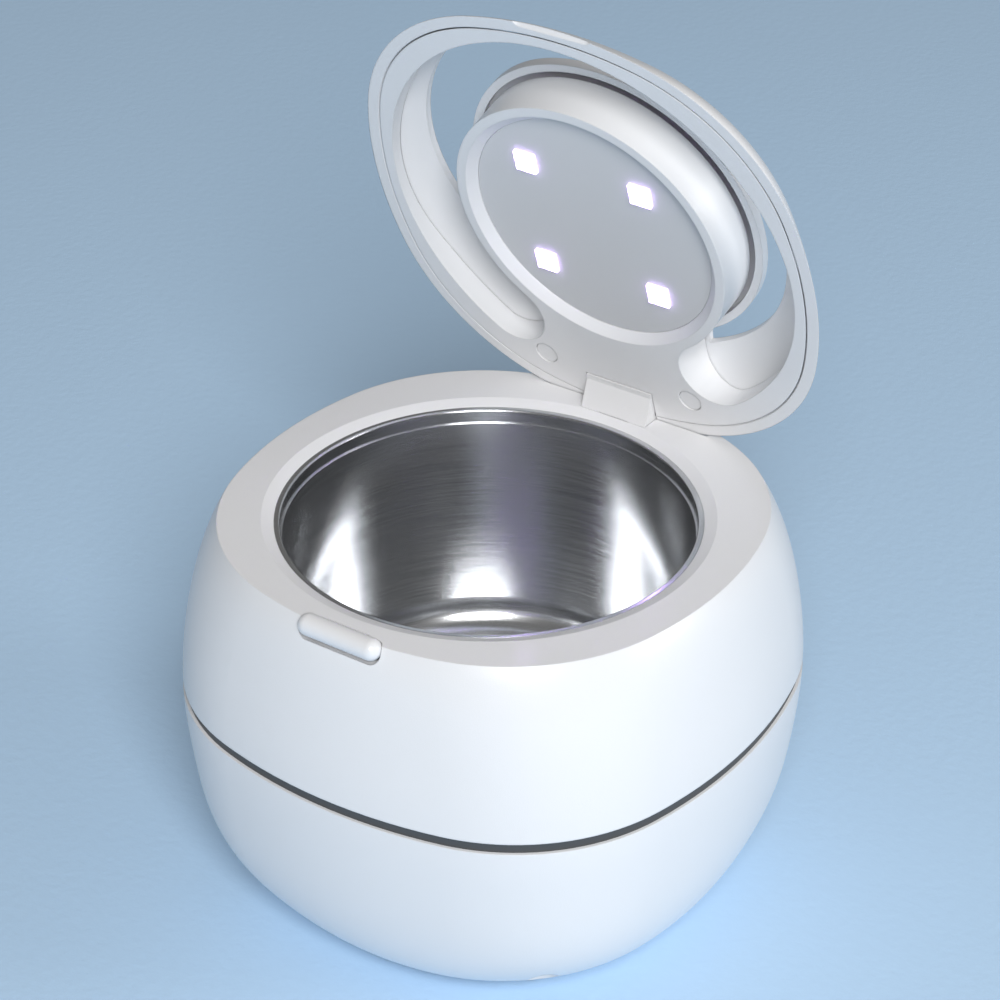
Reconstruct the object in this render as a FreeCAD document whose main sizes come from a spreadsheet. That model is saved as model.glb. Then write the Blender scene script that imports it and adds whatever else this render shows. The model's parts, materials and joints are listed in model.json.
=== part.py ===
import FreeCAD, Part
import math
import os
import re

import Sketcher

# Ultrasonic cleaner: a rounded two-part housing round a stainless tank, with a hinged lid
# that carries a round ultraviolet lamp housing.
# Frame: origin at the centre of the footprint on the table, +X to the right seen from the
# front, +Y to the hinge at the back, +Z up. Millimetres.
# The lid is drawn closed and then turned open about the hinge pin.

doc = FreeCAD.newDocument("ultrasonic_cleaner")

SIZES = {
    # housing
    "deck": 89.0, "base": 1.3, "wall": 2.4, "deck_plate": 3.0, "floor_plate": 2.5,
    "seam_low": 50.6, "seam_high": 53.0, "band_inset": 0.4, "band_width": 3.2,
    # tank and what clamps it
    "tank_y": -2.0, "mouth_radius": 46.5, "hole_radius": 43.9, "mouth_bevel": 0.93,
    "tank_radius": 42.3, "tank_sheet": 0.8, "tank_floor": 33.0, "tank_corner": 7.0,
    "flange_radius": 48.2, "gasket": 1.0, "clamp_radius": 48.6, "clamp_plate": 2.0,
    "clamp_screw_place": 50.4, "clamp_ear": 2.4,
    # transducer
    "disc_radius": 20.0, "disc_plate": 2.6, "glue": 0.2,
    # screws: heads and shanks
    "small_head": 2.1, "small_head_deep": 1.4, "small_shank": 1.1,
    "main_head": 2.8, "main_head_deep": 2.2, "main_shank": 1.3,
    # pillars that hold the two shells together
    "pillar_place": 38.2, "pillar_radius": 4.3, "pillar_top": 56.0, "well_radius": 3.1,
    "well_top": 44.0, "socket_radius": 3.2, "socket_top": 78.0, "rib": 2.0,
    # feet
    "foot_place": 27.0, "foot_radius": 5.0, "foot_sunk": 1.0,
    # main board
    "board_length": 62.0, "board_width": 46.0, "board_plate": 1.6, "board_level": 12.0,
    "board_screw_x": 27.0, "board_screw_y": 19.0, "standoff": 3.2,
    # power inlet
    "inlet_level": 24.0, "inlet_seat": 54.8, "inlet_flange": 6.2, "inlet_barrel": 4.1,
    "inlet_bore": 2.8, "inlet_boss": 8.2, "inlet_back": 51.0,
    # front button
    "button_x": 1.0, "button_y": -54.0, "button_drop": 1.0, "button_radius": 2.3,
    "button_length": 19.3, "button_gap": 0.12, "button_travel": 0.8, "stem_y": -52.3,
    "stem_width": 1.4, "stem_length": 10.0, "stem_foot": 82.8, "switch_side": 3.6,
    "switch_top": 81.6, "plunger": 0.35, "switch_board_top": 78.2, "switch_board_plate": 1.6,
    "switch_screw_x": 7.488, "switch_screw_y": -49.4,
    # hinge
    "hinge_y": 49.6, "hinge_rise": 1.44, "open_angle": 72.35, "pin_radius": 1.0,
    "pin_length": 15.8, "knuckle": 2.1, "arm_half": 8.1, "ear_half": 3.4, "side_gap": 0.3,
    "trough_half": 21.0, "trough_radius": 4.25, "trough_front": 48.75, "trough_step": 1.6,
    "bracket_top": 4.8, "bracket_plate": 1.4,
    "run": 0.06, "arm_front": 44.5, "arm_deep": 3.85, "arm_reach": 5.3, "stem_back": 0.6,
    "arm_screw_x": 5.0, "arm_screw_y": 38.5, "bracket_screw_x": 5.2,
    # lid
    "lid_gap": 0.4, "lid_rim": 2.3, "parting": 0.3, "cover_plate": 1.6, "cover_pad": 3.0,
    "slot_inner": 32.0, "slot_outer": 48.0, "slot_end_angle": 51.5, "slot_wall": 1.4,
    "lamp_deep": 10.6,
    "crescent_radius": 42.7, "crescent_y": -5.4, "cap_radius": 34.8, "cap_lip": 1.8,
    "cap_lip_level": 10.95, "plug_x": 18.1, "plug_y": 41.3, "plug_radius": 2.7,
    "plug_sunk": 0.3,
    # lamp
    "recess_radius": 29.8, "recess_taper": 2.0, "lamp_plate": 1.2, "lamp_plate_level": 2.4,
    "led_place": 13.7,
    "lens_half": 2.4, "uv_board_radius": 26.5, "uv_board_level": 5.1, "lens_face": 1.6,
    "uv_screw_place": 22.0,
}

# Rounded-square stations of the housing: drop below the deck, half width, corner stretch.
HOUSING_STATIONS = [
    (0.0, 54.0, 1.052), (8.7, 57.2, 1.063), (19.3, 59.2, 1.074), (31.6, 60.7, 1.075),
    (43.8, 60.7, 1.076), (57.0, 59.2, 1.078), (70.1, 56.2, 1.078), (80.7, 50.7, 1.046),
    (87.7, 42.9, 1.020),
]

# Rounded-square stations of the lid: rise above the deck, half width, corner stretch.
LID_STATIONS = [
    (0.4, 53.4, 1.044), (2.6, 51.6, 1.060), (5.4, 48.8, 1.062),
    (8.2, 44.7, 1.045), (11.4, 38.4, 1.030), (14.2, 31.4, 1.020), (16.0, 22.0, 1.014),
    (16.9, 11.0, 1.012), (17.1, 3.0, 1.012),
]

# Levels that several pieces share.
TANK_FLANGE_TOP = "deck - deck_plate - gasket"
FLANGE_FOOT = "deck - deck_plate - gasket - tank_sheet"
CLAMP_FOOT = "deck - deck_plate - gasket - tank_sheet - clamp_plate"
BOARD_TOP = "board_level + board_plate"
DISC_TOP = "tank_floor - tank_sheet - glue"
SWITCH_BOARD_FOOT = "switch_board_top - switch_board_plate"
BRACKET_FOOT = "deck - bracket_top - bracket_plate"
BRACKET_SCREW_PLACE = "hinge_y + 2.3"
PIN_LEVEL = "deck + hinge_rise"

sheet = doc.addObject("Spreadsheet::Sheet", "sizes")
WORDS = {}


def write_cell(row, word, number):
    """Put one driving dimension in the sheet under its own word."""
    sheet.set("A%d" % row, word)
    sheet.set("B%d" % row, str(number))
    sheet.setAlias("B%d" % row, word)
    WORDS[word] = float(number)


def fill_sheet():
    row = 1
    for word, number in SIZES.items():
        write_cell(row, word, number)
        row += 1
    for part, stations in (("housing", HOUSING_STATIONS), ("lid", LID_STATIONS)):
        for index, station in enumerate(stations):
            for kind, number in zip(("level", "half", "stretch"), station):
                write_cell(row, "%s_%s_%s" % (part, kind, "abcdefghij"[index]), number)
                row += 1
    doc.recompute()


def formula(text):
    """Turn words of the sheet into references to their cells."""
    def refer(match):
        word = match.group(0)
        return "sizes." + word if word in WORDS else word
    return re.sub(r"[a-z_]+", refer, str(text))


def bind(thing, path, text):
    thing.setExpression(path, formula(text))


def place(thing, x="0", y="0", z="0"):
    for axis, text in zip("xyz", (x, y, z)):
        if text != "0":
            bind(thing, "Placement.Base." + axis, text)
    return thing


# ---------------------------------------------------------------- solids

def cylinder(name, radius, height, x="0", y="0", z="0", along="z"):
    """A cylinder that starts at x, y, z and runs along one axis."""
    solid = doc.addObject("Part::Cylinder", name)
    bind(solid, "Radius", radius)
    bind(solid, "Height", height)
    if along == "y":
        solid.Placement.Rotation = FreeCAD.Rotation(FreeCAD.Vector(1, 0, 0), -90)
    if along == "x":
        solid.Placement.Rotation = FreeCAD.Rotation(FreeCAD.Vector(0, 1, 0), 90)
    return place(solid, x, y, z)


def cone(name, low, high, height, x="0", y="0", z="0"):
    solid = doc.addObject("Part::Cone", name)
    bind(solid, "Radius1", low)
    bind(solid, "Radius2", high)
    bind(solid, "Height", height)
    return place(solid, x, y, z)


def box(name, length, width, height, x="0", y="0", z="0"):
    """A box centred on x and y that stands on z."""
    solid = doc.addObject("Part::Box", name)
    bind(solid, "Length", length)
    bind(solid, "Width", width)
    bind(solid, "Height", height)
    return place(solid, "%s - (%s) / 2" % (x, length), "%s - (%s) / 2" % (y, width), z)


def fuse(name, solids):
    union = doc.addObject("Part::MultiFuse", name)
    union.Shapes = solids
    return union


def common(name, first, second):
    shared = doc.addObject("Part::MultiCommon", name)
    shared.Shapes = [first, second]
    return shared


def cut(name, base, tools):
    """Take every tool away from the base."""
    tool = tools[0] if len(tools) == 1 else fuse(name + "_tools", tools)
    rest = doc.addObject("Part::Cut", name)
    rest.Base = base
    rest.Tool = tool
    return rest


def group(name, solids):
    """Identical loose pieces that share one node."""
    pieces = doc.addObject("Part::Compound", name)
    pieces.Links = solids
    return pieces


def four(name, make):
    """Four copies, one in each corner: make(name, sign of x, sign of y)."""
    corners = [("left", "-1"), ("right", "1")]
    rows = [("front", "-1"), ("back", "1")]
    return [make("%s_%s_%s" % (name, row, side), sx, sy)
            for side, sx in corners for row, sy in rows]


# ---------------------------------------------------------------- sketches

def corner_terms(half, stretch):
    """Centre offset and radius of the corner arcs, and radius of the side arcs."""
    offset = "(3.5 * (%s - 1))" % stretch
    corner = "(%s - %s * sqrt(2))" % (stretch, offset)
    side = "((%s^2 - (1 - %s)^2 - %s^2) / (2 * (%s - 1 + %s)))" % (
        corner, offset, offset, corner, offset)
    return ["%s * (%s)" % (term, half) for term in (offset, corner, side)]


def corner_numbers(half, stretch):
    offset = 3.5 * (stretch - 1)
    corner = stretch - offset * math.sqrt(2)
    side = (corner ** 2 - (1 - offset) ** 2 - offset ** 2) / (2 * (corner - 1 + offset))
    return offset * half, corner * half, side * half


def rounded_square(sketch, half, stretch, half_number, stretch_number):
    """A square with bowed sides and large corners, as eight tangent arcs."""
    offset, corner, side = corner_numbers(half_number, stretch_number)
    turn = math.atan2(offset, offset + side - half_number)
    up = FreeCAD.Vector(0, 0, 1)
    first = sketch.GeometryCount
    for quarter in range(4):
        start = quarter * math.pi / 2
        spin = FreeCAD.Rotation(up, math.degrees(start))
        centre = spin.multVec(FreeCAD.Vector(half_number - side, 0, 0))
        arc = Part.ArcOfCircle(Part.Circle(centre, up, side), start - turn, start + turn)
        sketch.addGeometry(arc)
        centre = spin.multVec(FreeCAD.Vector(offset, offset, 0))
        arc = Part.ArcOfCircle(Part.Circle(centre, up, corner), start + turn,
                               start + math.pi / 2 - turn)
        sketch.addGeometry(arc)
    for index in range(8):
        after = first + (index + 1) % 8
        sketch.addConstraint(Sketcher.Constraint("Tangent", first + index, 2, after, 1))
    for quarter in range(4):
        axis = -1 if quarter % 2 == 0 else -2
        sketch.addConstraint(Sketcher.Constraint("PointOnObject", first + 2 * quarter, 3, axis))
    for quarter in range(1, 4):
        sketch.addConstraint(Sketcher.Constraint("Equal", first, first + 2 * quarter))
        sketch.addConstraint(Sketcher.Constraint("Equal", first + 1, first + 1 + 2 * quarter))
    terms = corner_terms(half, stretch)
    radius_constraint(sketch, first, terms[2], side)
    radius_constraint(sketch, first + 1, terms[1], corner)
    reach = "%s - (%s)" % (terms[2], half)
    spread = side - half_number
    for quarter, kind in enumerate(("DistanceX", "DistanceY", "DistanceX", "DistanceY")):
        ends = (first + 2 * quarter, 3, -1, 1)
        if quarter > 1:
            ends = (-1, 1, first + 2 * quarter, 3)
        index = sketch.addConstraint(Sketcher.Constraint(kind, *ends, spread))
        bind(sketch, "Constraints[%d]" % index, reach)


def radius_constraint(sketch, curve, text, number):
    index = sketch.addConstraint(Sketcher.Constraint("Radius", curve, number))
    bind(sketch, "Constraints[%d]" % index, text)


def square_loft(name, part, stations, inset, shift, from_deck):
    """A solid through the stations, set in by inset and moved up by shift."""
    sections = []
    for index, (level, half_number, stretch_number) in enumerate(stations):
        mark = "abcdefghij"[index]
        sketch = doc.addObject("Sketcher::SketchObject", "%s_%s" % (name, mark))
        half = "%s_half_%s - (%s)" % (part, mark, inset)
        stretch = "%s_stretch_%s" % (part, mark)
        gap = WORDS.get(inset, 0.0)
        rounded_square(sketch, half, stretch, half_number - gap, stretch_number)
        bind(sketch, "Placement.Base.z",
             "deck %s %s_level_%s + (%s)" % (from_deck, part, mark, shift))
        sections.append(sketch)
    loft = doc.addObject("Part::Loft", name)
    loft.Sections = sections
    loft.Solid = True
    loft.Ruled = False
    return loft


def plane_of(body, role):
    return next(plane for plane in body.Origin.OriginFeatures if plane.Role == role)


def corners(sketch, points):
    """A closed outline of straight lines through points given as formulas."""
    count = len(points)
    for index in range(count):
        here = 2 * math.pi * index / count
        there = 2 * math.pi * (index + 1) / count
        start = FreeCAD.Vector(20 + math.cos(here), math.sin(here), 0)
        end = FreeCAD.Vector(20 + math.cos(there), math.sin(there), 0)
        sketch.addGeometry(Part.LineSegment(start, end))
    for index in range(count):
        sketch.addConstraint(
            Sketcher.Constraint("Coincident", index, 2, (index + 1) % count, 1))
    for index, point in enumerate(points):
        for kind, text in zip(("DistanceX", "DistanceY"), point):
            at = sketch.addConstraint(Sketcher.Constraint(kind, -1, 1, index, 1, 1.0))
            bind(sketch, "Constraints[%d]" % at, text)


def turned(name, points, y="0", rounds=()):
    """A turned piece: an outline of (radius, level) about the upright axis.

    rounds lists (radius, level, fillet) of the circular edges to round."""
    body = doc.addObject("PartDesign::Body", name)
    sketch = body.newObject("Sketcher::SketchObject", name + "_outline")
    sketch.AttachmentSupport = [(plane_of(body, "XZ_Plane"), "")]
    sketch.MapMode = "FlatFace"
    corners(sketch, points)
    solid = body.newObject("PartDesign::Revolution", name + "_turn")
    solid.Profile = sketch
    solid.ReferenceAxis = (sketch, ["V_Axis"])
    solid.Angle = 360
    body.Tip = solid
    if y != "0":
        bind(body, "Placement.Base.y", y)
    for number, (radius, level, fillet) in enumerate(rounds):
        doc.recompute()
        before = body.Tip
        names = circle_edges(before.Shape, radius, level)
        edge = body.newObject("PartDesign::Fillet", "%s_round_%d" % (name, number))
        edge.Base = (before, names)
        bind(edge, "Radius", fillet)
        body.Tip = edge
    return body


def circle_edges(shape, radius, level):
    """Names of the full circles of one radius at one level."""
    found = []
    for number, edge in enumerate(shape.Edges, 1):
        curve = edge.Curve
        if curve.TypeId != "Part::GeomCircle":
            continue
        if abs(curve.Radius - radius) < 0.01 and abs(curve.Center.z - level) < 0.01:
            found.append("Edge%d" % number)
    return found


def extruded(name, points, half_width, x="0"):
    """A piece with the same (y, level) outline over its whole width along X."""
    body = doc.addObject("PartDesign::Body", name)
    sketch = body.newObject("Sketcher::SketchObject", name + "_outline")
    sketch.AttachmentSupport = [(plane_of(body, "YZ_Plane"), "")]
    sketch.MapMode = "FlatFace"
    corners(sketch, points)
    pad = body.newObject("PartDesign::Pad", name + "_pad")
    pad.Profile = sketch
    bind(pad, "Length", "2 * (%s)" % half_width)
    pad.Midplane = True
    body.Tip = pad
    if x != "0":
        bind(body, "Placement.Base.x", x)
    return body


NODES = []


def node(solid, label):
    solid.Label = label
    NODES.append(solid)
    return solid


def lid_node(solid, label):
    """A piece of the lid, turned open about the hinge pin."""
    node(solid, label)
    solid.Placement.Rotation = FreeCAD.Rotation(FreeCAD.Vector(1, 0, 0), -1)
    bind(solid, "Placement.Rotation.Angle", "open_angle")
    solid.Placement.Rotation.Axis = FreeCAD.Vector(-1, 0, 0)
    height = "(deck + hinge_rise)"
    bind(solid, "Placement.Base.y",
         "hinge_y - hinge_y * cos(open_angle) - %s * sin(open_angle)" % height)
    bind(solid, "Placement.Base.z",
         "%s + hinge_y * sin(open_angle) - %s * cos(open_angle)" % (height, height))
    return solid


# ---------------------------------------------------------------- housing

def housing_forms():
    outer = square_loft("housing_outer", "housing", HOUSING_STATIONS, "0", "0", "-")
    inner = square_loft("housing_inner", "housing", HOUSING_STATIONS, "wall", "0", "-")
    return outer, inner


def slab(name, low, high, half="80"):
    return box(name, "2 * " + half, "2 * " + half, "(%s) - (%s)" % (high, low), z=low)


def upper_shell(outer, inner):
    """The white top half with its deck, tank mouth, hinge well and button pocket."""
    skin = common("upper_skin", outer, slab("upper_slab", "seam_high", "deck + 1"))
    room = common("upper_room", inner, slab("upper_room_slab", "seam_high - 1",
                                            "deck - deck_plate"))
    walls = cut("upper_walls", skin, [room])
    inside = [
        box("hinge_block", "2 * trough_half + 3", "14", "8", y="53.9",
            z="deck - deck_plate - 8"),
        box("button_rail_left", "4", "9", "2", "button_x - 7.5", "-51.5",
            SWITCH_BOARD_FOOT + " - 2"),
        box("button_rail_right", "4", "9", "2", "button_x + 7.5", "-51.5",
            SWITCH_BOARD_FOOT + " - 2"),
    ]
    inside += four("socket", socket_post)
    inside += clamp_places("clamp_boss", clamp_boss)
    inside = common("upper_inside", fuse("upper_inside_raw", inside), outer)
    solid = fuse("upper_solid", [walls, inside])
    holes = [
        cylinder("mouth_hole", "hole_radius", "10", y="tank_y", z="deck - 8"),
        cone("mouth_cone", "hole_radius", "mouth_radius", "mouth_bevel", y="tank_y",
             z="deck - mouth_bevel"),
        cylinder("mouth_clear", "mouth_radius", "2", y="tank_y", z="deck"),
        hinge_trough(),
        arm_slot(),
        box("bracket_pocket", "15.4", "4.6", "bracket_plate + 1", y="hinge_y + 1.9",
            z=BRACKET_FOOT),
        box("stem_slot", "stem_length + 0.4", "stem_width + 0.4", "12", "button_x", "stem_y",
            "deck - 9"),
    ]
    for side, sign in (("left", "-"), ("right", "+")):
        holes.append(cylinder("bracket_hole_" + side, "small_shank", "4.5",
                              "0 %s bracket_screw_x" % sign, BRACKET_SCREW_PLACE,
                              BRACKET_FOOT + " - 4"))
        holes.append(cylinder("switch_hole_" + side, "small_shank", "3",
                              "button_x %s switch_screw_x" % sign, "switch_screw_y",
                              SWITCH_BOARD_FOOT + " - 2.5"))
    for name, drop in (("pocket_high", "0"), ("pocket_low", "button_travel")):
        holes.append(capsule(name, "button_radius + button_gap",
                             "button_length + 2 * button_gap",
                             "deck - button_drop - (%s)" % drop))
    holes += four("socket_hole", lambda name, sx, sy: cylinder(
        name, "main_shank", "12", "pillar_place * " + sx, "pillar_place * " + sy,
        "pillar_top - 0.5"))
    holes += clamp_places("clamp_hole", lambda name, x, y: cylinder(
        name, "small_shank", "4", x, y, FLANGE_FOOT))
    return node(cut("upper_shell", solid, holes), "upper_shell")


def socket_post(name, sx, sy):
    """A screw socket in a corner of the upper shell, with a rib to the wall."""
    post = cylinder(name, "socket_radius", "socket_top - pillar_top", "pillar_place * " + sx,
                    "pillar_place * " + sy, "pillar_top")
    rib = doc.addObject("Part::Box", name + "_rib")
    bind(rib, "Length", "30")
    bind(rib, "Width", "rib")
    bind(rib, "Height", "socket_top - pillar_top")
    turn = math.degrees(math.atan2(float(sy), float(sx)))
    rib.Placement.Rotation = FreeCAD.Rotation(FreeCAD.Vector(0, 0, 1), turn)
    place(rib, "pillar_place * %s + %s * rib / sqrt(8)" % (sx, sy),
          "pillar_place * %s - %s * rib / sqrt(8)" % (sy, sx), "pillar_top")
    return fuse(name + "_all", [post, rib])


def clamp_places(name, make):
    """The four screw places of the clamp ring, 20 degrees off the sides."""
    made = []
    for side, sx in (("left", "-1"), ("right", "1")):
        for row, sy in (("front", "-1"), ("back", "1")):
            x = "%s * clamp_screw_place * cos(20)" % sx
            y = "tank_y + %s * clamp_screw_place * sin(20)" % sy
            made.append(make("%s_%s_%s" % (name, row, side), x, y))
    return made


def clamp_boss(name, x, y):
    return cylinder(name, "clamp_ear - 0.2", "gasket + tank_sheet + 0.5", x, y, FLANGE_FOOT)


def round_hinge(name, radius, half, front, back):
    """A cut of one radius round the hinge pin, kept between two places along Y."""
    round_form = cylinder(name + "_round", radius, "2 * (%s)" % half, "-(%s)" % half,
                          "hinge_y", PIN_LEVEL, "x")
    keep = box(name + "_keep", "100", "(%s) - (%s)" % (back, front), "30",
               y="0.5 * ((%s) + (%s))" % (front, back), z="deck - 15")
    return common(name, round_form, keep)


def hinge_trough():
    """The dip at the back of the deck that the open lid's edge swings into."""
    dip = round_hinge("trough_dip", "trough_radius", "trough_half", "trough_front",
                      "hinge_y + 6")
    step = box("trough_step", "2 * trough_half", "4", "6", y="hinge_y + 4.7",
               z="deck - trough_step")
    return fuse("hinge_trough", [dip, step])


def arm_slot():
    """The slot in the deck that the hinge arm swings through."""
    swing = round_hinge("arm_swing", "arm_reach + 0.16", "arm_half + 0.15", "hinge_y - 8",
                        "hinge_y + 0.5")
    back = box("arm_room", "2 * (arm_half + 0.15)", "4.2", "8", y="hinge_y + 2.1",
               z="deck - bracket_top")
    return fuse("arm_slot", [swing, back])


def capsule(name, radius, length, level):
    """A pill that lies along X on the front corner of the deck."""
    straight = "(%s - 2 * (%s))" % (length, radius)
    bar = cylinder(name + "_bar", radius, straight, "button_x - %s / 2" % straight,
                   "button_y", level, along="x")
    ends = []
    for side, sign in (("left", "-"), ("right", "+")):
        ball = doc.addObject("Part::Sphere", "%s_end_%s" % (name, side))
        bind(ball, "Radius", radius)
        place(ball, "button_x %s %s / 2" % (sign, straight), "button_y", level)
        ends.append(ball)
    return fuse(name, [bar] + ends)


def lower_shell(outer, inner):
    """The white bottom half with its pillars, board posts and inlet seat."""
    skin = common("lower_skin", outer, slab("lower_slab", "base - 1", "seam_low"))
    room = common("lower_room", inner, slab("lower_room_slab", "base + floor_plate",
                                            "seam_low + 1"))
    walls = cut("lower_walls", skin, [room])
    inside = four("pillar", lambda name, sx, sy: cylinder(
        name, "pillar_radius", "pillar_top - base", "pillar_place * " + sx,
        "pillar_place * " + sy, "base"))
    inside += four("board_post", lambda name, sx, sy: cylinder(
        name, "standoff", "board_level - base - 1", "board_screw_x * " + sx,
        "board_screw_y * " + sy, "base + 1"))
    inside.append(cylinder("inlet_seat_boss", "inlet_boss", "8", z="inlet_level",
                           y="inlet_back", along="y"))
    inside = common("lower_inside", fuse("lower_inside_raw", inside), outer)
    solid = fuse("lower_solid", [walls, inside])
    holes = four("well", lambda name, sx, sy: cylinder(
        name, "well_radius", "well_top", "pillar_place * " + sx, "pillar_place * " + sy))
    holes += four("pillar_hole", lambda name, sx, sy: cylinder(
        name, "main_shank", "20", "pillar_place * " + sx, "pillar_place * " + sy, "well_top - 1"))
    holes += four("board_hole", lambda name, sx, sy: cylinder(
        name, "small_shank", "6", "board_screw_x * " + sx, "board_screw_y * " + sy,
        "board_level - 6"))
    holes += four("foot_seat", lambda name, sx, sy: cylinder(
        name, "foot_radius", "base + foot_sunk", "foot_place * " + sx, "foot_place * " + sy))
    holes.append(cylinder("inlet_hole", "inlet_barrel", "12", z="inlet_level",
                          y="inlet_back - 4", along="y"))
    holes.append(cylinder("inlet_face", "inlet_flange + 0.2", "12", z="inlet_level",
                          y="inlet_seat", along="y"))
    return node(cut("lower_shell", solid, holes), "lower_shell")


def accent_band():
    """The dark band between the shells, set back a little from their faces."""
    body = doc.addObject("PartDesign::Body", "accent_band")
    sketch = body.newObject("Sketcher::SketchObject", "band_outline")
    sketch.AttachmentSupport = [(plane_of(body, "XY_Plane"), "")]
    sketch.MapMode = "FlatFace"
    half = WORDS["housing_half_d"]
    stretch = WORDS["housing_stretch_d"]
    rounded_square(sketch, "housing_half_d - band_inset", "housing_stretch_d",
                   half - WORDS["band_inset"], stretch)
    rounded_square(sketch, "housing_half_d - band_width", "housing_stretch_d",
                   half - WORDS["band_width"], stretch)
    pad = body.newObject("PartDesign::Pad", "band_pad")
    pad.Profile = sketch
    bind(pad, "Length", "seam_high - seam_low")
    body.Tip = pad
    bind(body, "Placement.Base.z", "seam_low")
    return node(body, "accent_band")


def feet():
    for foot in four("foot", lambda name, sx, sy: cylinder(
            name, "foot_radius - 0.1", "base + foot_sunk", "foot_place * " + sx,
            "foot_place * " + sy)):
        node(foot, "rubber_" + foot.Name)


def screw(name, head, head_deep, shank, length, x, y, z, down=False):
    """A screw whose head starts at z; its shank runs up, or down if so marked."""
    top = cylinder(name + "_head", head, head_deep, x, y, z)
    start = "%s + %s" % (z, head_deep)
    if down:
        start = "%s - (%s)" % (z, length)
    stem = cylinder(name + "_shank", shank, length, x, y, start)
    return fuse(name, [top, stem])


def housing_screws():
    node(group("housing_screws", four("housing_screw", lambda name, sx, sy: screw(
        name, "main_head", "main_head_deep", "main_shank", "pillar_top + 9 - well_top",
        "pillar_place * " + sx, "pillar_place * " + sy, "well_top - main_head_deep"))),
        "housing_screws")


# ---------------------------------------------------------------- tank and transducer

def tank():
    """The drawn stainless tank with its flat flange."""
    outside = "tank_radius + tank_sheet"
    points = [("0", "tank_floor - tank_sheet"), (outside, "tank_floor - tank_sheet"),
              (outside, FLANGE_FOOT), ("flange_radius", FLANGE_FOOT),
              ("flange_radius", TANK_FLANGE_TOP), ("tank_radius", TANK_FLANGE_TOP),
              ("tank_radius", "tank_floor"), ("0", "tank_floor")]
    size = WORDS
    rounds = [(size["tank_radius"], size["tank_floor"], "tank_corner"),
              (size["tank_radius"] + size["tank_sheet"],
               size["tank_floor"] - size["tank_sheet"], "tank_corner + tank_sheet")]
    node(turned("wash_tank", points, "tank_y", rounds), "wash_tank")
    ring = [("tank_radius + 0.3", TANK_FLANGE_TOP), ("hole_radius", TANK_FLANGE_TOP),
            ("hole_radius", "deck - mouth_bevel"), ("tank_radius + 0.3", "deck - mouth_bevel")]
    level = size["deck"] - size["mouth_bevel"]
    node(turned("tank_rim_ring", ring, "tank_y",
                [(size["tank_radius"] + 0.3, level, "0.5")]), "tank_rim_ring")
    seal = [("hole_radius + 0.3", TANK_FLANGE_TOP), ("flange_radius - 0.1", TANK_FLANGE_TOP),
            ("flange_radius - 0.1", "deck - deck_plate"),
            ("hole_radius + 0.3", "deck - deck_plate")]
    node(turned("tank_gasket", seal, "tank_y"), "tank_gasket")


def clamp_ring():
    """The ring that presses the tank flange up against the gasket, and its screws."""
    disc = cylinder("clamp_disc", "clamp_radius", "clamp_plate", y="tank_y", z=CLAMP_FOOT)
    ears = clamp_places("clamp_ear_disc", lambda name, x, y: cylinder(
        name, "clamp_ear", "clamp_plate", x, y, CLAMP_FOOT))
    holes = [cylinder("clamp_bore", "tank_radius + tank_sheet + 0.4", "6", y="tank_y",
                      z=CLAMP_FOOT + " - 1")]
    holes += clamp_places("clamp_ear_hole", lambda name, x, y: cylinder(
        name, "small_shank", "6", x, y, CLAMP_FOOT + " - 1"))
    node(cut("tank_clamp_ring", fuse("clamp_solid", [disc] + ears), holes), "tank_clamp_ring")
    screws = clamp_places("clamp_screw", lambda name, x, y: screw(
        name, "small_head", "small_head_deep", "small_shank", "5.5", x, y,
        CLAMP_FOOT + " - small_head_deep"))
    node(group("tank_clamp_screws", screws), "tank_clamp_screws")


def transducer():
    """The piezo disc bonded under the tank, its glue layer and its two leads."""
    node(cylinder("piezo_glue", "disc_radius - 0.5", "glue", y="tank_y", z=DISC_TOP),
         "transducer_adhesive")
    node(cylinder("piezo_disc", "disc_radius", "disc_plate", y="tank_y",
                  z=DISC_TOP + " - disc_plate"), "piezo_disc")
    leads = []
    for index, side in enumerate(("left", "right")):
        x = 6 + 5 * index
        leads.append(wire("piezo_lead_" + side, 0.6, [
            (x, -4, WORDS["tank_floor"] - 3.6), (x, -4, 27.4), (x + 5, -10, 26.0),
            (25.0, -13 + 3 * index, 22.4), (25.0, -13 + 3 * index, 18.6)]))
    node(group("transducer_leads", leads), "transducer_leads")


def wire(name, radius, route):
    """An insulated lead: straight runs joined by tangent arcs."""
    points = [FreeCAD.Vector(*point) for point in route]
    edges = []
    start = points[0]
    for index in range(1, len(points) - 1):
        corner = points[index]
        back = points[index - 1] - corner
        ahead = points[index + 1] - corner
        turn = math.pi - back.getAngle(ahead)
        reach = 0.45 * min(back.Length, ahead.Length)
        bend = reach / math.tan(turn / 2)
        enter = corner + back.normalize() * reach
        leave = corner + ahead.normalize() * reach
        middle_way = (back + ahead).normalize()
        middle = corner + middle_way * (bend / math.cos(turn / 2) - bend)
        edges.append(Part.LineSegment(start, enter).toShape())
        edges.append(Part.Arc(enter, middle, leave).toShape())
        start = leave
    edges.append(Part.LineSegment(start, points[-1]).toShape())
    path = Part.Wire(edges)
    first = (points[1] - points[0]).normalize()
    circle = Part.Wire(Part.makeCircle(radius, points[0], first))
    tube = doc.addObject("Part::Feature", name)
    tube.Shape = path.makePipeShell([circle], True, False)
    return tube


# ---------------------------------------------------------------- electronics

def main_board():
    plate = box("board_blank", "board_length", "board_width", "board_plate", z="board_level")
    holes = four("board_screw_hole", lambda name, sx, sy: cylinder(
        name, "small_shank", "6", "board_screw_x * " + sx, "board_screw_y * " + sy,
        "board_level - 2"))
    node(cut("main_board", plate, holes), "main_board")
    screws = four("board_screw", lambda name, sx, sy: screw(
        name, "small_head", "small_head_deep", "small_shank", "board_plate + 4",
        "board_screw_x * " + sx, "board_screw_y * " + sy, BOARD_TOP, down=True))
    node(group("board_screws", screws), "board_screws")


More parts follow.
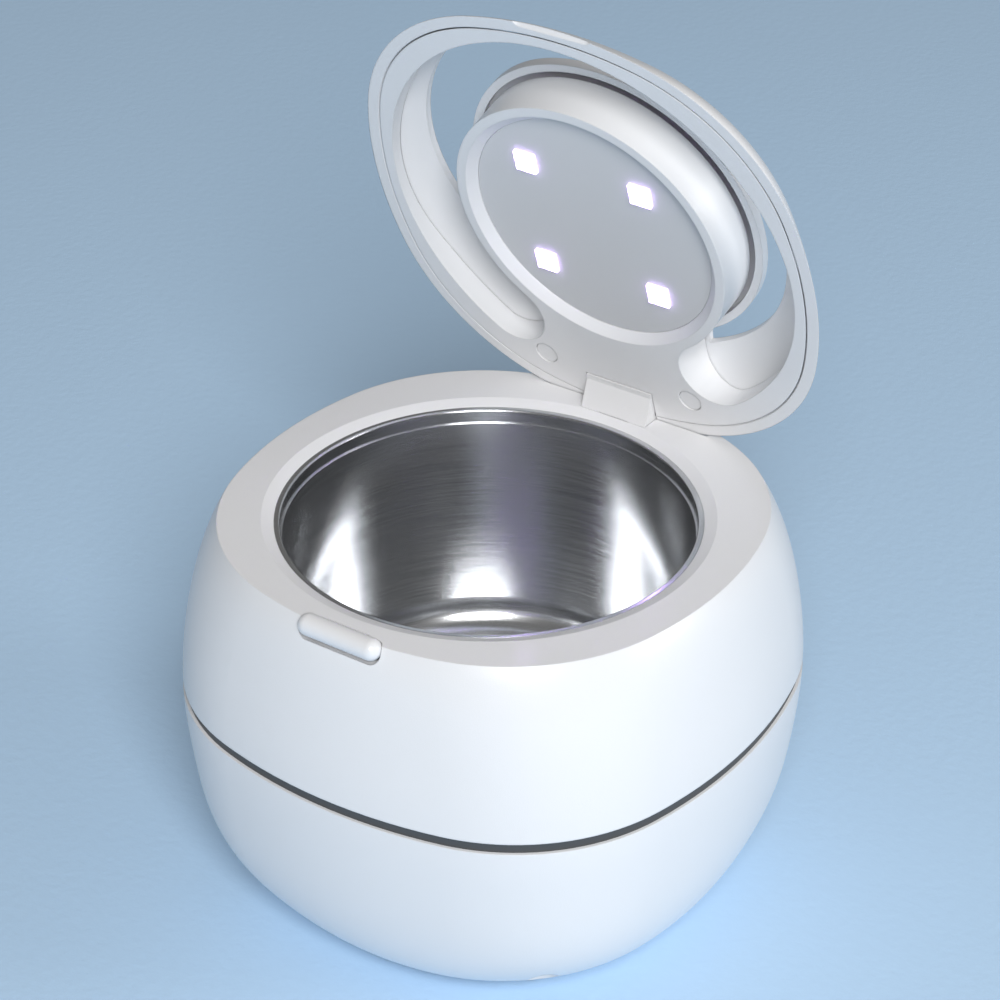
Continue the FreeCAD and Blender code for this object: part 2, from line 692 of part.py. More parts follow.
def on_board(name, length, width, height, x, y):
    return box(name, length, width, height, x, y, BOARD_TOP)


def board_parts():
    """What the main board carries."""
    core = on_board("transformer_core", "17", "15", "11.5", "-16", "8")
    winding = cylinder("transformer_winding", "8.4", "9", "-16", "8", BOARD_TOP + " + 1.2")
    node(fuse("drive_transformer", [core, winding]), "drive_transformer")
    coil = cylinder("choke_outer", "6.5", "9", "-16", "-12", BOARD_TOP)
    node(cut("output_choke", coil, [cylinder("choke_bore", "2.2", "12", "-16", "-12",
                                             BOARD_TOP + " - 1")]), "output_choke")
    cans = [cylinder("can_%d" % number, "3.2", "11", "%d" % (2 + 8 * number), "13", BOARD_TOP)
            for number in range(3)]
    node(group("board_capacitors", cans), "board_capacitors")
    fins = [on_board("sink_fin_%d" % number, "1.2", "10", "12", "%.1f" % (-3 + 3.2 * number),
                     "-1") for number in range(5)]
    spine = on_board("sink_spine", "14", "1.6", "12", "3.4", "-6.4")
    node(fuse("driver_heat_sink", fins + [spine]), "driver_heat_sink")
    node(on_board("driver_transistor", "10", "3.8", "10", "3.4", "-9.4"), "driver_transistor")
    chips = [on_board("timer_chip", "6", "5", "1.7", "20", "2"),
             on_board("driver_chip", "5", "4", "1.5", "-3", "-17")]
    node(group("board_chips", chips), "board_chips")
    plugs = [on_board("lead_plug_tank", "5", "8", "5", "25", "-11.5"),
             on_board("lead_plug_inlet", "8", "5", "5", "17", "-20"),
             on_board("lead_plug_lid", "8", "5", "5", "-26.5", "-5")]
    node(group("lead_plugs", plugs), "lead_plugs")


def power_inlet():
    """The low-voltage jack in the back, with its nut and centre contact."""
    def round_along(name, radius, start, length):
        return cylinder(name, radius, length, y=start, z="inlet_level", along="y")
    barrel = round_along("jack_barrel", "inlet_barrel", "inlet_seat - 9", "9")
    face = round_along("jack_face", "inlet_flange", "inlet_seat", "1.2")
    bore = round_along("jack_bore", "inlet_bore", "inlet_seat - 8", "10")
    node(cut("power_inlet", fuse("jack_solid", [barrel, face]), [bore]), "power_inlet")
    disc = round_along("nut_disc", "inlet_barrel + 2.2", "inlet_back - 2", "2")
    hole = round_along("nut_hole", "inlet_barrel", "inlet_back - 3", "4")
    node(cut("inlet_nut", disc, [hole]), "inlet_nut")
    node(round_along("inlet_contact", "1", "inlet_seat - 8", "8.2"), "inlet_contact")
    leads = []
    for index in range(2):
        x = -1.5 + 3 * index
        leads.append(wire("inlet_lead_%d" % index, 0.6, [
            (x, WORDS["inlet_seat"] - 9, 24.0), (x, 42.0, 24.0), (x + 9, 32.0, 22.0),
            (24.0 + x, 22.0, 23.0), (32.0 + x, 8.0, 24.0), (32.0 + x, -6.0, 23.6),
            (26.0 + x, -18.0, 22.8), (17.0 + x, -20.0, 22.4), (17.0 + x, -20.0, 18.6)]))
    node(group("inlet_leads", leads), "inlet_leads")


# ---------------------------------------------------------------- front button

def front_button():
    """The pill-shaped button on the front corner, its switch and the switch board."""
    pill = capsule("button_pill", "button_radius", "button_length", "deck - button_drop")
    stem = box("button_stem", "stem_length", "stem_width", "deck - button_drop - stem_foot",
               "button_x", "stem_y", "stem_foot")
    node(fuse("power_button", [pill, stem]), "power_button")
    body = box("switch_body", "switch_side", "switch_side", "switch_top - switch_board_top",
               "button_x", "stem_y", "switch_board_top")
    plunger = cylinder("switch_plunger", "1.3", "plunger", "button_x", "stem_y", "switch_top")
    node(body, "button_switch")
    node(plunger, "switch_plunger")
    blank = box("switch_board_blank", "19", "9", "switch_board_plate", "button_x", "-51.5",
                SWITCH_BOARD_FOOT)
    clip = square_loft("switch_board_clip", "housing", HOUSING_STATIONS, "wall", "0", "-")
    holes = [cylinder("switch_board_hole_" + side, "small_shank", "6", "button_x + " + x,
                      "switch_screw_y", SWITCH_BOARD_FOOT + " - 2")
             for side, x in (("left", "-switch_screw_x"), ("right", "switch_screw_x"))]
    board = cut("switch_board_cut", blank, holes)
    node(common("button_board", board, clip), "button_board")
    screws = [screw("switch_screw_" + side, "1.9", "1.2", "small_shank",
                    "switch_board_plate + 2", "button_x + " + x, "switch_screw_y", "switch_board_top",
                    down=True) for side, x in (("left", "-switch_screw_x"), ("right", "switch_screw_x"))]
    node(group("button_board_screws", screws), "button_board_screws")


# ---------------------------------------------------------------- hinge

def hinge():
    """The steel bracket on the housing, the pin, and the arm on the lid."""
    ear_width = "2 * ear_half"
    stem_high = "hinge_rise + bracket_top"
    plate = box("bracket_base", "15", "4.2", "bracket_plate", y="hinge_y + 1.9", z=BRACKET_FOOT)
    stem = box("bracket_stem", ear_width, "2", stem_high, y="hinge_y + stem_back + 1",
               z="deck - bracket_top")
    eye = cylinder("bracket_eye", "knuckle", ear_width, "-ear_half", "hinge_y", PIN_LEVEL, "x")
    bore = cylinder("bracket_bore", "pin_radius + run", "30", "-15", "hinge_y", PIN_LEVEL, "x")
    holes = [bore] + [cylinder("bracket_screw_hole_" + side, "small_shank", "4", x,
                               BRACKET_SCREW_PLACE, BRACKET_FOOT + " - 1")
                      for side, x in (("left", "-bracket_screw_x"), ("right", "bracket_screw_x"))]
    node(cut("hinge_bracket", fuse("bracket_solid", [plate, stem, eye]), holes),
         "hinge_bracket")
    screws = [screw("bracket_screw_" + side, "1.7", "0.9", "small_shank", "bracket_plate + 3.5",
                    x, BRACKET_SCREW_PLACE, "deck - bracket_top", down=True)
              for side, x in (("left", "-bracket_screw_x"), ("right", "bracket_screw_x"))]
    node(group("hinge_screws", screws), "hinge_screws")
    pin = cylinder("pin_rod", "pin_radius", "pin_length", "-pin_length / 2", "hinge_y",
                   PIN_LEVEL, "x")
    lid_node(group("hinge_pin_piece", [pin]), "hinge_pin")
    washers = []
    for side, x in (("left", "-ear_half - side_gap + 0.05"), ("right", "ear_half")):
        disc = cylinder("washer_disc_" + side, "knuckle - 0.1", "side_gap - 0.05", x, "hinge_y",
                        PIN_LEVEL, "x")
        hole = cylinder("washer_hole_" + side, "pin_radius + run", "2", x + " - 1", "hinge_y",
                        PIN_LEVEL, "x")
        washers.append(cut("washer_" + side, disc, [hole]))
    node(group("friction_washers", washers), "friction_washers")


def hinge_arm():
    """The wedge-shaped arm under the lid that carries the pin in two knuckles."""
    wedge = extruded("arm_wedge", [
        ("arm_front - 1.1", "deck + 3.5"), ("arm_front - 1.1", "deck + 0.15"),
        ("arm_front", "deck"), ("hinge_y + 0.14", "deck - arm_deep"),
        ("hinge_y + 1.2", "deck - 1.6"), ("hinge_y + knuckle", PIN_LEVEL),
        ("hinge_y + 1.2", "deck + 3.1"), ("hinge_y", "deck + 3.5")], "arm_half")
    tongue = extruded("arm_tongue", [
        ("35", "deck + lid_gap + cover_plate"), ("46", "deck + lid_gap + cover_plate"),
        ("46", "deck + 3.5"), ("35", "deck + 3.5")], "arm_half")
    slot = extruded("arm_gap", [
        ("hinge_y - knuckle - 0.4", "deck + 8"), ("hinge_y - knuckle - 0.4", PIN_LEVEL),
        ("hinge_y - 1.8", "deck - 0.4"), ("hinge_y + 0.1", "deck - 1"),
        ("hinge_y + 0.1", "deck - 8"), ("hinge_y + 6", "deck - 8"),
        ("hinge_y + 6", "deck + 8")], "ear_half + side_gap")
    bore = cylinder("arm_bore", "pin_radius", "30", "-15", "hinge_y", PIN_LEVEL, "x")
    holes = [cylinder("arm_screw_hole_" + side, "small_shank", "8", x, "arm_screw_y", "deck")
             for side, x in (("left", "-arm_screw_x"), ("right", "arm_screw_x"))]
    heads = [cylinder("arm_screw_seat_" + side, "small_head", "1.2", x, "arm_screw_y",
                      "deck + lid_gap + cover_plate - 0.2")
             for side, x in (("left", "-arm_screw_x"), ("right", "arm_screw_x"))]
    lid_node(cut("hinge_arm", fuse("arm_solid", [wedge, tongue]),
                 [slot, bore] + holes + heads), "hinge_arm")
    screws = [screw("arm_screw_" + side, "small_head - 0.1", "0.9", "small_shank", "3.8", x,
                    "arm_screw_y", "deck + lid_gap + cover_plate + 0.1")
              for side, x in (("left", "-arm_screw_x"), ("right", "arm_screw_x"))]
    lid_node(group("hinge_arm_screws", screws), "hinge_arm_screws")


# ---------------------------------------------------------------- lid

def lid_forms():
    outer = square_loft("lid_outer", "lid", LID_STATIONS, "0", "0", "+")
    inner = square_loft("lid_inner", "lid", LID_STATIONS, "lid_rim", "-0.5", "+")
    cover = square_loft("lid_cover", "lid", LID_STATIONS, "lid_rim + parting", "-0.5", "+")
    return outer, inner, cover


def slot_shape(name, inner, outer, end, low, high):
    """A C-shaped slot round the lamp housing, open everywhere but at the hinge."""
    height = "(%s) - (%s)" % (high, low)
    sweep = "180 + 2 * slot_end_angle"
    disc = cylinder(name + "_disc", outer, height, z=low)
    disc.Placement.Rotation = FreeCAD.Rotation(FreeCAD.Vector(0, 0, 1), 1)
    bind(disc, "Angle", sweep)
    bind(disc, "Placement.Rotation.Angle", "180 - slot_end_angle")
    ring = cut(name + "_ring", disc, [cylinder(name + "_core", inner, height, z=low)])
    ends = [cylinder("%s_end_%s" % (name, side), end, height,
                     "%s * 0.5 * (slot_inner + slot_outer) * cos(slot_end_angle)" % sign,
                     "0.5 * (slot_inner + slot_outer) * sin(slot_end_angle)", low)
            for side, sign in (("left", "-1"), ("right", "1"))]
    return fuse(name, [ring] + ends)


def lid_window(name, front, high):
    """The room for the hinge arm and its bracket, from a front line to the back edge."""
    return box(name, "2 * (arm_half + 0.25)", "14", "20 + %s" % high, y=front + " + 7",
               z="deck - 20")


def outer_lid(outer, inner):
    """The domed white top of the lid with its crescent finger opening."""
    skin = cut("dome_skin", outer, [inner])
    lip_out = cylinder("cap_lip_out", "cap_radius", "12", z="deck + cap_lip_level")
    lip_in = cylinder("cap_lip_in", "cap_radius - cap_lip", "14",
                      z="deck + cap_lip_level - 1")
    lip = cut("cap_lip_ring", lip_out, [lip_in])
    bosses = [cylinder("lid_boss_" + side, "2.3", "9", x, "plug_y", "deck + cover_pad")
              for side, x in (("left", "-plug_x"), ("right", "plug_x"))]
    bosses += [cylinder("arm_boss_" + side, "2.4", "9", x, "arm_screw_y", "deck + 3.6")
               for side, x in (("left", "-arm_screw_x"), ("right", "arm_screw_x"))]
    bosses += [cylinder("lamp_boss_%d" % number, "2.3", "12",
                        "uv_screw_place * cos(%d)" % (90 * number),
                        "uv_screw_place * sin(%d)" % (90 * number),
                        "deck + uv_board_level + board_plate")
               for number in range(4)]
    bosses.append(cylinder("crown_pad", "24", "4", z="deck + 14.4"))
    inside = common("dome_inside", fuse("dome_inside_raw", [lip] + bosses), outer)
    solid = fuse("dome_solid", [skin, inside])
    band = slot_shape("crescent_limit", "cap_radius - 1", "slot_outer + 3",
                      "0.5 * (slot_outer - slot_inner) - 1", "deck - 5", "deck + 30")
    disc = cylinder("crescent_disc", "crescent_radius", "40", y="crescent_y", z="deck - 8")
    ring = cut("crescent_ring", disc, [cylinder("crescent_core", "cap_radius", "50",
                                                z="deck - 10")])
    holes = [common("crescent", ring, band), lid_window("eye_window", "46.5", "3.75"),
             lid_window("stem_window", "hinge_y + 0.4", "10"),
             capsule("button_relief", "button_radius + 0.15", "button_length + 0.3",
                     "deck - button_drop")]
    holes += screw_holes("lid_screw_hole", "deck", "6.4")
    holes += [cylinder("arm_boss_hole_" + side, "small_shank", "4", x, "arm_screw_y", "deck + 3")
              for side, x in (("left", "-arm_screw_x"), ("right", "arm_screw_x"))]
    holes += [cylinder("lamp_boss_hole_%d" % number, "small_shank", "5",
                       "uv_screw_place * cos(%d)" % (90 * number),
                       "uv_screw_place * sin(%d)" % (90 * number),
                       "deck + uv_board_level + board_plate - 1")
              for number in range(4)]
    return lid_node(cut("lid_outer_shell", solid, holes), "lid_outer_shell")


def screw_holes(name, low, high, radius="small_shank"):
    return [cylinder("%s_%s" % (name, side), radius, high, x, "plug_y", low)
            for side, x in (("left", "-plug_x"), ("right", "plug_x"))]


def inner_lid(inner):
    """The flat white underside: ring, bridge and the round wall of the lamp housing."""
    plate = cylinder("cover_blank", "80", "cover_plate", z="deck + lid_gap")
    wall = slot_shape("cover_wall", "slot_inner - slot_wall", "slot_outer + slot_wall",
                      "0.5 * (slot_outer - slot_inner) + slot_wall", "deck + lid_gap",
                      "deck + lamp_deep")
    core = cylinder("lamp_wall_out", "slot_inner", "lamp_deep - lid_gap",
                    z="deck + lid_gap")
    hollow = cylinder("lamp_wall_in", "slot_inner - slot_wall", "lamp_deep",
                      z="deck + lamp_plate_level")
    pads = screw_holes("cover_pad", "deck + lid_gap", "cover_pad - lid_gap", "plug_radius + 1")
    solid = common("cover_solid", fuse("cover_raw", [plate, wall, core] + pads), inner)
    void = slot_shape("cover_slot", "slot_inner", "slot_outer",
                      "0.5 * (slot_outer - slot_inner)", "deck - 5", "deck + 30")
    recess = cone("lamp_recess", "recess_radius", "recess_radius - recess_taper",
                  "lamp_plate_level - lid_gap", z="deck + lid_gap")
    tongue_room = box("tongue_room", "2 * (arm_half + 0.2)", "14", "9", y="34.8 + 7",
                      z="deck + lid_gap + cover_plate")
    holes = [void, hollow, recess, lid_window("cover_window", "arm_front - 1.3", "10"), tongue_room]
    holes += screw_holes("plug_seat", "deck", "lid_gap + cover_plate", "plug_radius")
    holes += screw_holes("cover_screw_hole", "deck", "5")
    return lid_node(cut("lid_inner_cover", solid, holes), "lid_inner_cover")


def lid_trim():
    plugs = screw_holes("plug", "deck + lid_gap + plug_sunk", "0.5", "plug_radius - 0.1")
    for side, plug in zip(("left", "right"), plugs):
        lid_node(group("screw_plug_piece_" + side, [plug]), "screw_plug_" + side)
    heads = [screw("lid_screw_" + side, "1.8", "0.7", "small_shank", "4", x, "plug_y",
                   "deck + lid_gap + cover_plate - 0.7")
             for side, x in (("left", "-plug_x"), ("right", "plug_x"))]
    lid_node(group("lid_screws", heads), "lid_screws")


def lamp():
    """The grey lamp plate, four lenses, four diodes and their board."""
    def led(name, side, height, z):
        return four(name, lambda title, sx, sy: box(
            title, side, side, height, "led_place * " + sx, "led_place * " + sy, z))
    disc = cylinder("lamp_disc", "slot_inner - slot_wall - 0.2", "lamp_plate",
                    z="deck + lamp_plate_level")
    lid_node(cut("lamp_plate", disc, led("lens_hole", "2 * lens_half + 0.1", "6", "deck")),
             "lamp_plate")
    lid_node(group("uv_lenses", led("lens", "2 * lens_half", "1.8", "deck + lens_face")),
             "uv_lenses")
    lid_node(group("uv_diodes", led("diode", "3", "1", "deck + uv_board_level - 1")),
             "uv_diodes")
    blank = cylinder("uv_board_blank", "uv_board_radius", "board_plate",
                     z="deck + uv_board_level")
    holes = [cylinder("uv_board_hole_%d" % number, "small_shank", "6",
                      "uv_screw_place * cos(%d)" % (90 * number),
                      "uv_screw_place * sin(%d)" % (90 * number), "deck + uv_board_level - 2")
             for number in range(4)]
    lid_node(cut("uv_board", blank, holes), "uv_board")
    screws = [screw("uv_screw_%d" % number, "small_head", "1.1", "small_shank", "5.5",
                    "uv_screw_place * cos(%d)" % (90 * number),
                    "uv_screw_place * sin(%d)" % (90 * number),
                    "deck + uv_board_level - 1.1") for number in range(4)]
    lid_node(group("uv_board_screws", screws), "uv_board_screws")


# ---------------------------------------------------------------- build and export

def build():
    fill_sheet()
    outer, inner = housing_forms()
    upper_shell(outer, inner)
    lower_shell(outer, inner)
    accent_band()
    feet()
    housing_screws()
    tank()
    clamp_ring()
    transducer()
    main_board()
    board_parts()
    power_inlet()
    front_button()
    hinge()
    hinge_arm()
    lid_outer_form, lid_inner_form, lid_cover_form = lid_forms()
    outer_lid(lid_outer_form, lid_inner_form)
    inner_lid(lid_cover_form)
    lid_trim()
    lamp()
    doc.recompute()


def check_and_export():
    failed = [thing.Name for thing in doc.Objects
              if "Invalid" in thing.State or "Error" in thing.State]
    if failed:
        raise RuntimeError("failed: " + ", ".join(failed))
    os.makedirs("parts", exist_ok=True)
    for solid in NODES:
        shape = solid.Shape
        if shape.isNull() or not shape.isValid():
            raise RuntimeError("bad shape: " + solid.Label)
        print("%-22s solids %d volume %9.1f" % (solid.Label, len(shape.Solids), shape.Volume))
        shape.exportStep("parts/%s.step" % solid.Label)


build()
check_and_export()
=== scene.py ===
import json
import math

import bpy
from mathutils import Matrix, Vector


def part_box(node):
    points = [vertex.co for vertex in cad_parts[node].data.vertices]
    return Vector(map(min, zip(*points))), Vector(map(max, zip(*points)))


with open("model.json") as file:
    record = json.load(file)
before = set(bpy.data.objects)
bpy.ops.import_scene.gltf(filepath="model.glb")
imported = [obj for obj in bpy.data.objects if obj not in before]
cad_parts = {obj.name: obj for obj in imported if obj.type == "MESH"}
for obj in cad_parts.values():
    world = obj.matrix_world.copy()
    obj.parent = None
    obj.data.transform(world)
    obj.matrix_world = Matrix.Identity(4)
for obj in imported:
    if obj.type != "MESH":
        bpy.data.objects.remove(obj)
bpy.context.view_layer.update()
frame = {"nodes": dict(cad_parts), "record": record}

# The ultrasonic cleaner in metres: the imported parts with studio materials, a camera at the
# photograph's angle, a pale floor and soft light.


# ---------------------------------------------------------------- looks by material slot

# colour, roughness, grain in cells per metre, relief in metres, darkest tone, clear coat
PLASTICS = {
    "white_shell": ((0.84, 0.84, 0.85), 0.3, 5200.0, 0.00003, 0.97, 0.15),
    "accent_grey": ((0.075, 0.077, 0.08), 0.42, 4200.0, 0.00005, 0.8, 0.0),
    "lamp_grey": ((0.7, 0.7, 0.71), 0.42, 4200.0, 0.00004, 0.96, 0.0),
    "soft_rubber": ((0.045, 0.045, 0.048), 0.75, 2600.0, 0.0001, 0.7, 0.0),
    "adhesive": ((0.3, 0.27, 0.22), 0.35, 900.0, 0.00008, 0.8, 0.0),
    "circuit_green": ((0.012, 0.12, 0.045), 0.35, 1500.0, 0.00003, 0.7, 0.3),
    "circuit_white": ((0.75, 0.75, 0.74), 0.4, 1500.0, 0.00003, 0.97, 0.0),
    "component_black": ((0.02, 0.02, 0.022), 0.5, 3800.0, 0.00005, 0.7, 0.0),
    "connector_white": ((0.7, 0.68, 0.62), 0.5, 2600.0, 0.00004, 0.97, 0.0),
    "lead_insulation": ((0.3, 0.015, 0.015), 0.5, 1800.0, 0.00005, 0.8, 0.0),
}
FLOOR_LOOK = ((0.54, 0.75, 0.98), 0.9, 400.0, 0.0001, 0.99, 0.0)

# colour, roughness, stretch of the grain, grain in cells per metre, relief in metres
METALS = {
    "zinc_steel": ((0.6, 0.61, 0.63), 0.35, (1, 12, 12), 500.0, 0.00003),
    "screw_steel": ((0.55, 0.56, 0.58), 0.3, (1, 1, 8), 800.0, 0.00002),
    "piezo": ((0.72, 0.7, 0.64), 0.5, (1, 1, 1), 2600.0, 0.00003),
    "copper_winding": ((0.6, 0.26, 0.12), 0.35, (1, 1, 22), 420.0, 0.0001),
    "sink_aluminium": ((0.62, 0.63, 0.64), 0.4, (1, 1, 14), 500.0, 0.00004),
    "contact_brass": ((0.78, 0.6, 0.27), 0.25, (1, 14, 1), 700.0, 0.00002),
}

EDGE_RADIUS = 0.00035       # every edge is shaded with this rounding
EDGE_SAMPLES = 4
TONE_DRIFT = 22.0           # cells per metre of the slow change in tone
GLOSS_DRIFT = 160.0         # and of the change in gloss
COAT_ROUGHNESS = 0.12
RING_STRETCH = (1.5, 2600.0, 2600.0)    # turned rings: round the axis, outwards, upwards
STEEL_DARK, STEEL_LIGHT = (0.62, 0.63, 0.645), (0.76, 0.77, 0.785)
LENS_INDEX = 1.49
LENS_GLOW, LENS_GLOW_STRENGTH = (0.68, 0.5, 1.0), 0.95
DIODE_GLOW, DIODE_GLOW_STRENGTH = (0.6, 0.38, 1.0), 25.0


# ---------------------------------------------------------------- materials

def new_material(name, color, roughness, metallic=0.0):
    """A Principled material and the handles that the finish functions need."""
    material = bpy.data.materials.new(name)
    material.use_nodes = True
    nodes = material.node_tree.nodes
    links = material.node_tree.links
    shader = nodes["Principled BSDF"]
    shader.inputs["Base Color"].default_value = (*color, 1.0)
    shader.inputs["Roughness"].default_value = roughness
    shader.inputs["Metallic"].default_value = metallic
    material.diffuse_color = (*color, 1.0)
    return material, nodes, links, shader


def object_coordinates(nodes):
    return nodes.new("ShaderNodeTexCoord").outputs["Object"]


def noise(nodes, links, vector, scale, detail=3.0, stretch=None):
    """Noise over the object's own coordinates; scale is in cells per metre."""
    if stretch is not None:
        mapping = nodes.new("ShaderNodeMapping")
        mapping.inputs["Scale"].default_value = stretch
        links.new(vector, mapping.inputs["Vector"])
        vector = mapping.outputs["Vector"]
    texture = nodes.new("ShaderNodeTexNoise")
    texture.inputs["Scale"].default_value = scale
    texture.inputs["Detail"].default_value = detail
    links.new(vector, texture.inputs["Vector"])
    return texture.outputs["Fac"]


def spread(nodes, links, factor, low, high):
    """A factor of 0 to 1 turned into a range of numbers."""
    span = nodes.new("ShaderNodeMapRange")
    span.inputs["To Min"].default_value = low
    span.inputs["To Max"].default_value = high
    links.new(factor, span.inputs["Value"])
    return span.outputs["Result"]


def tint(nodes, links, factor, low, high):
    """A factor of 0 to 1 turned into a blend of two colours."""
    ramp = nodes.new("ShaderNodeValToRGB")
    ramp.color_ramp.elements[0].color = (*low, 1.0)
    ramp.color_ramp.elements[1].color = (*high, 1.0)
    links.new(factor, ramp.inputs["Fac"])
    return ramp.outputs["Color"]


def shaded(color, amount):
    return tuple(channel * amount for channel in color)


def bump(nodes, links, shader, height, distance, strength=1.0):
    """Surface relief over edges that are shaded as slightly rounded."""
    edge = nodes.new("ShaderNodeBevel")
    edge.samples = EDGE_SAMPLES
    edge.inputs["Radius"].default_value = EDGE_RADIUS
    relief = nodes.new("ShaderNodeBump")
    relief.inputs["Distance"].default_value = distance
    relief.inputs["Strength"].default_value = strength
    links.new(edge.outputs["Normal"], relief.inputs["Normal"])
    links.new(height, relief.inputs["Height"])
    links.new(relief.outputs["Normal"], shader.inputs["Normal"])


def plastic(name, color, roughness, grain, depth, shade, coat):
    """Moulded plastic: a fine grain, and a slight drift in tone and gloss."""
    material, nodes, links, shader = new_material(name, color, roughness)
    place = object_coordinates(nodes)
    drift = noise(nodes, links, place, TONE_DRIFT, 2.0)
    links.new(tint(nodes, links, drift, shaded(color, shade), color),
              shader.inputs["Base Color"])
    gloss = noise(nodes, links, place, GLOSS_DRIFT, 4.0)
    links.new(spread(nodes, links, gloss, roughness * 0.85, roughness * 1.15),
              shader.inputs["Roughness"])
    bump(nodes, links, shader, noise(nodes, links, place, grain, 2.0), depth)
    shader.inputs["Coat Weight"].default_value = coat
    shader.inputs["Coat Roughness"].default_value = COAT_ROUGHNESS
    return material


def metal(name, color, roughness, stretch, grain, depth):
    """Metal with a directional grain in both gloss and relief."""
    material, nodes, links, shader = new_material(name, color, roughness, 1.0)
    lines = noise(nodes, links, object_coordinates(nodes), grain, 5.0, stretch)
    links.new(spread(nodes, links, lines, roughness * 0.7, roughness * 1.35),
              shader.inputs["Roughness"])
    links.new(tint(nodes, links, lines, shaded(color, 0.9), color),
              shader.inputs["Base Color"])
    bump(nodes, links, shader, lines, depth, 0.5)
    return material


def turned_stainless(name, centre):
    """Drawn and polished stainless steel with fine rings round its axis."""
    material, nodes, links, shader = new_material(name, (0.72, 0.73, 0.745), 0.2, 1.0)
    shift = nodes.new("ShaderNodeMapping")
    shift.inputs["Location"].default_value = (-centre[0], -centre[1], 0.0)
    split = nodes.new("ShaderNodeSeparateXYZ")
    links.new(object_coordinates(nodes), shift.inputs["Vector"])
    links.new(shift.outputs["Vector"], split.inputs["Vector"])
    angle = nodes.new("ShaderNodeMath")
    angle.operation = "ARCTAN2"
    links.new(split.outputs["Y"], angle.inputs[0])
    links.new(split.outputs["X"], angle.inputs[1])
    flat = nodes.new("ShaderNodeCombineXYZ")
    links.new(split.outputs["X"], flat.inputs["X"])
    links.new(split.outputs["Y"], flat.inputs["Y"])
    radius = nodes.new("ShaderNodeVectorMath")
    radius.operation = "LENGTH"
    links.new(flat.outputs["Vector"], radius.inputs[0])
    around = nodes.new("ShaderNodeCombineXYZ")
    links.new(angle.outputs["Value"], around.inputs["X"])
    links.new(radius.outputs["Value"], around.inputs["Y"])
    links.new(split.outputs["Z"], around.inputs["Z"])
    rings = noise(nodes, links, around.outputs["Vector"], 1.0, 4.0, RING_STRETCH)
    links.new(spread(nodes, links, rings, 0.12, 0.3), shader.inputs["Roughness"])
    links.new(tint(nodes, links, rings, STEEL_DARK, STEEL_LIGHT),
              shader.inputs["Base Color"])
    bump(nodes, links, shader, rings, 0.00002, 0.35)
    return material


def glowing(name, color, roughness, glow, strength, grain, smooth, rough):
    """A piece that gives off light; its gloss varies between smooth and rough."""
    material, nodes, links, shader = new_material(name, color, roughness)
    shader.inputs["Emission Color"].default_value = (*glow, 1.0)
    shader.inputs["Emission Strength"].default_value = strength
    speckle = noise(nodes, links, object_coordinates(nodes), grain)
    links.new(spread(nodes, links, speckle, smooth, rough), shader.inputs["Roughness"])
    return material, shader


def lens(name):
    """The clear windows of the lamp, lit from behind."""
    material, shader = glowing(name, (0.93, 0.9, 1.0), 0.08, LENS_GLOW,
                               LENS_GLOW_STRENGTH, 900.0, 0.05, 0.16)
    shader.inputs["Transmission Weight"].default_value = 0.9
    shader.inputs["IOR"].default_value = LENS_INDEX
    return material


def diode(name):
    material, _ = glowing(name, (0.9, 0.85, 1.0), 0.4, DIODE_GLOW,
                          DIODE_GLOW_STRENGTH, 2000.0, 0.3, 0.5)
    return material


def finishes():
    """One material for each of the record's slots."""
    tank_low, tank_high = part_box("wash_tank")
    tank_centre = [(low + high) / 2 for low, high in zip(tank_low, tank_high)]
    made = {slot: plastic(slot, *look) for slot, look in PLASTICS.items()}
    made.update({slot: metal(slot, *look) for slot, look in METALS.items()})
    made["stainless"] = turned_stainless("stainless", tank_centre)
    made["lens_clear"] = lens("lens_clear")
    made["uv_diode"] = diode("uv_diode")
    return made


def finish_nodes(materials):
    """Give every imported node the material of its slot."""
    for part in frame["record"]["subparts"]:
        thing = frame["nodes"][part["node"]]
        for slot in thing.material_slots:
            slot.material = materials[part["material_slot"]]


# ---------------------------------------------------------------- stage

DECK = 0.089                # the camera looks at the middle of the deck
CAMERA_REACH = 0.648
CAMERA_RISE = 32.2
CAMERA_TURN = 34.55
CAMERA_SHIFT = (0.0054, 0.0076)
SENSOR = 36.0
LENS = 114.2
FLOOR_HALF = 6.0
LIGHT_REACH = 2.2
LIGHT_TARGET = Vector((0.0, 0.0, 0.08))

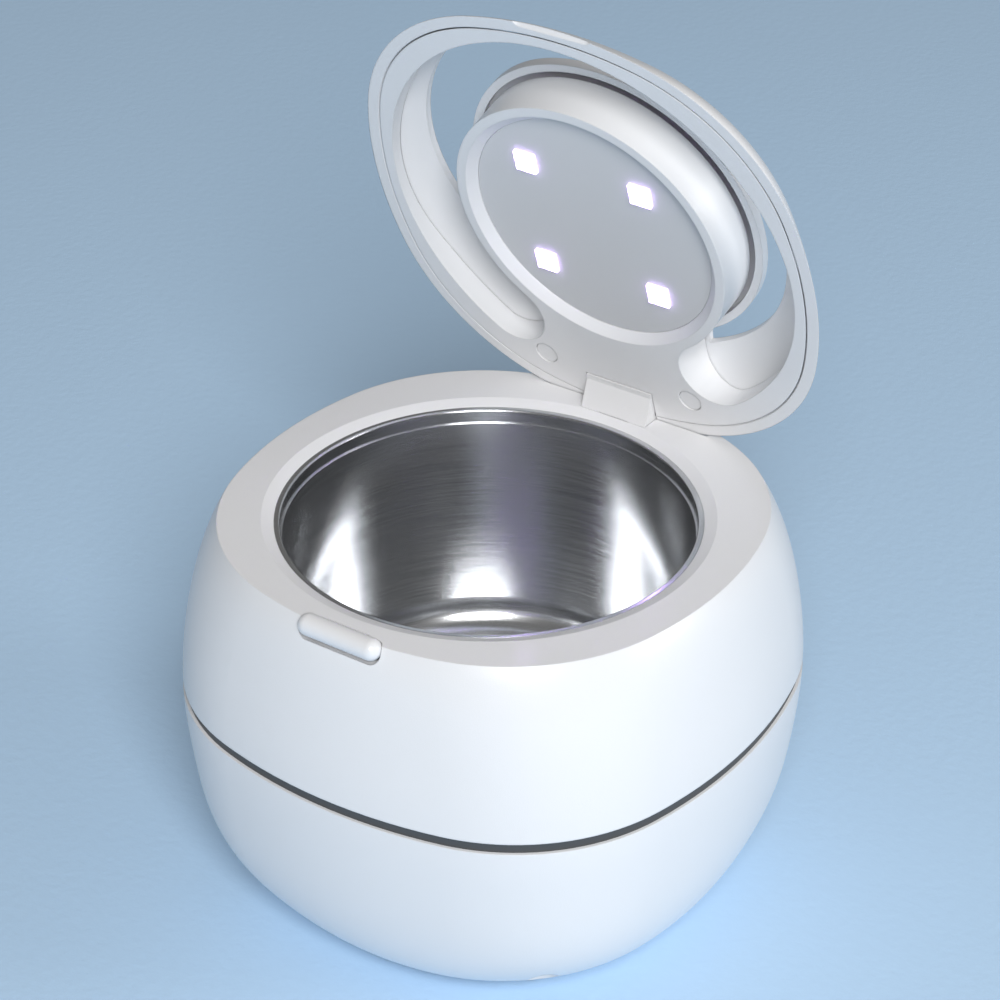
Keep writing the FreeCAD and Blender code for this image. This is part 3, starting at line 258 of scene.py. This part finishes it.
# name, turn, rise, diameter, power
LIGHTS = [
    ("key", 40.0, 37.0, 1.0, 40.0),
    ("right_strip", 114.0, 14.0, 0.8, 13.0),
]
SKY_COLOR = (1.0, 0.985, 0.965)
SKY_STRENGTH = 0.17


def direction(turn, rise):
    """Away from the object: turn is degrees from the front towards +X, rise is elevation."""
    turn, rise = math.radians(turn), math.radians(rise)
    return Vector((math.sin(turn) * math.cos(rise), -math.cos(turn) * math.cos(rise),
                   math.sin(rise)))


def aim(thing, target, away, reach):
    """Put a camera or a light at a distance from the target, looking at it."""
    bpy.context.collection.objects.link(thing)
    thing.location = target + away * reach
    thing.rotation_euler = (-away).to_track_quat("-Z", "Y").to_euler()


def camera():
    data = bpy.data.cameras.new("view")
    data.sensor_width = SENSOR
    data.lens = LENS
    data.shift_x, data.shift_y = CAMERA_SHIFT
    data.clip_start = 0.01
    data.clip_end = 30.0
    eye = bpy.data.objects.new("view", data)
    aim(eye, Vector((0.0, 0.0, DECK)), direction(CAMERA_TURN, CAMERA_RISE), CAMERA_REACH)
    bpy.context.scene.camera = eye


def floor(material):
    half = FLOOR_HALF
    mesh = bpy.data.meshes.new("floor")
    mesh.from_pydata([(-half, -half, 0), (half, -half, 0), (half, half, 0), (-half, half, 0)],
                     [], [(0, 1, 2, 3)])
    mesh.materials.append(material)
    ground = bpy.data.objects.new("floor", mesh)
    bpy.context.collection.objects.link(ground)


def area_light(name, turn, rise, size, power):
    """A round soft light that faces the object."""
    data = bpy.data.lights.new(name, "AREA")
    data.shape = "DISK"
    data.size = size
    data.energy = power
    lamp = bpy.data.objects.new(name, data)
    aim(lamp, LIGHT_TARGET, direction(turn, rise), LIGHT_REACH)


def studio_sky():
    world = bpy.data.worlds.new("studio")
    world.use_nodes = True
    sky = world.node_tree.nodes["Background"]
    sky.inputs["Color"].default_value = (*SKY_COLOR, 1.0)
    sky.inputs["Strength"].default_value = SKY_STRENGTH
    bpy.context.scene.world = world


def main():
    finish_nodes(finishes())
    camera()
    floor(plastic("floor", *FLOOR_LOOK))
    for light in LIGHTS:
        area_light(*light)
    studio_sky()
    bpy.context.scene.view_settings.view_transform = "Standard"


main()
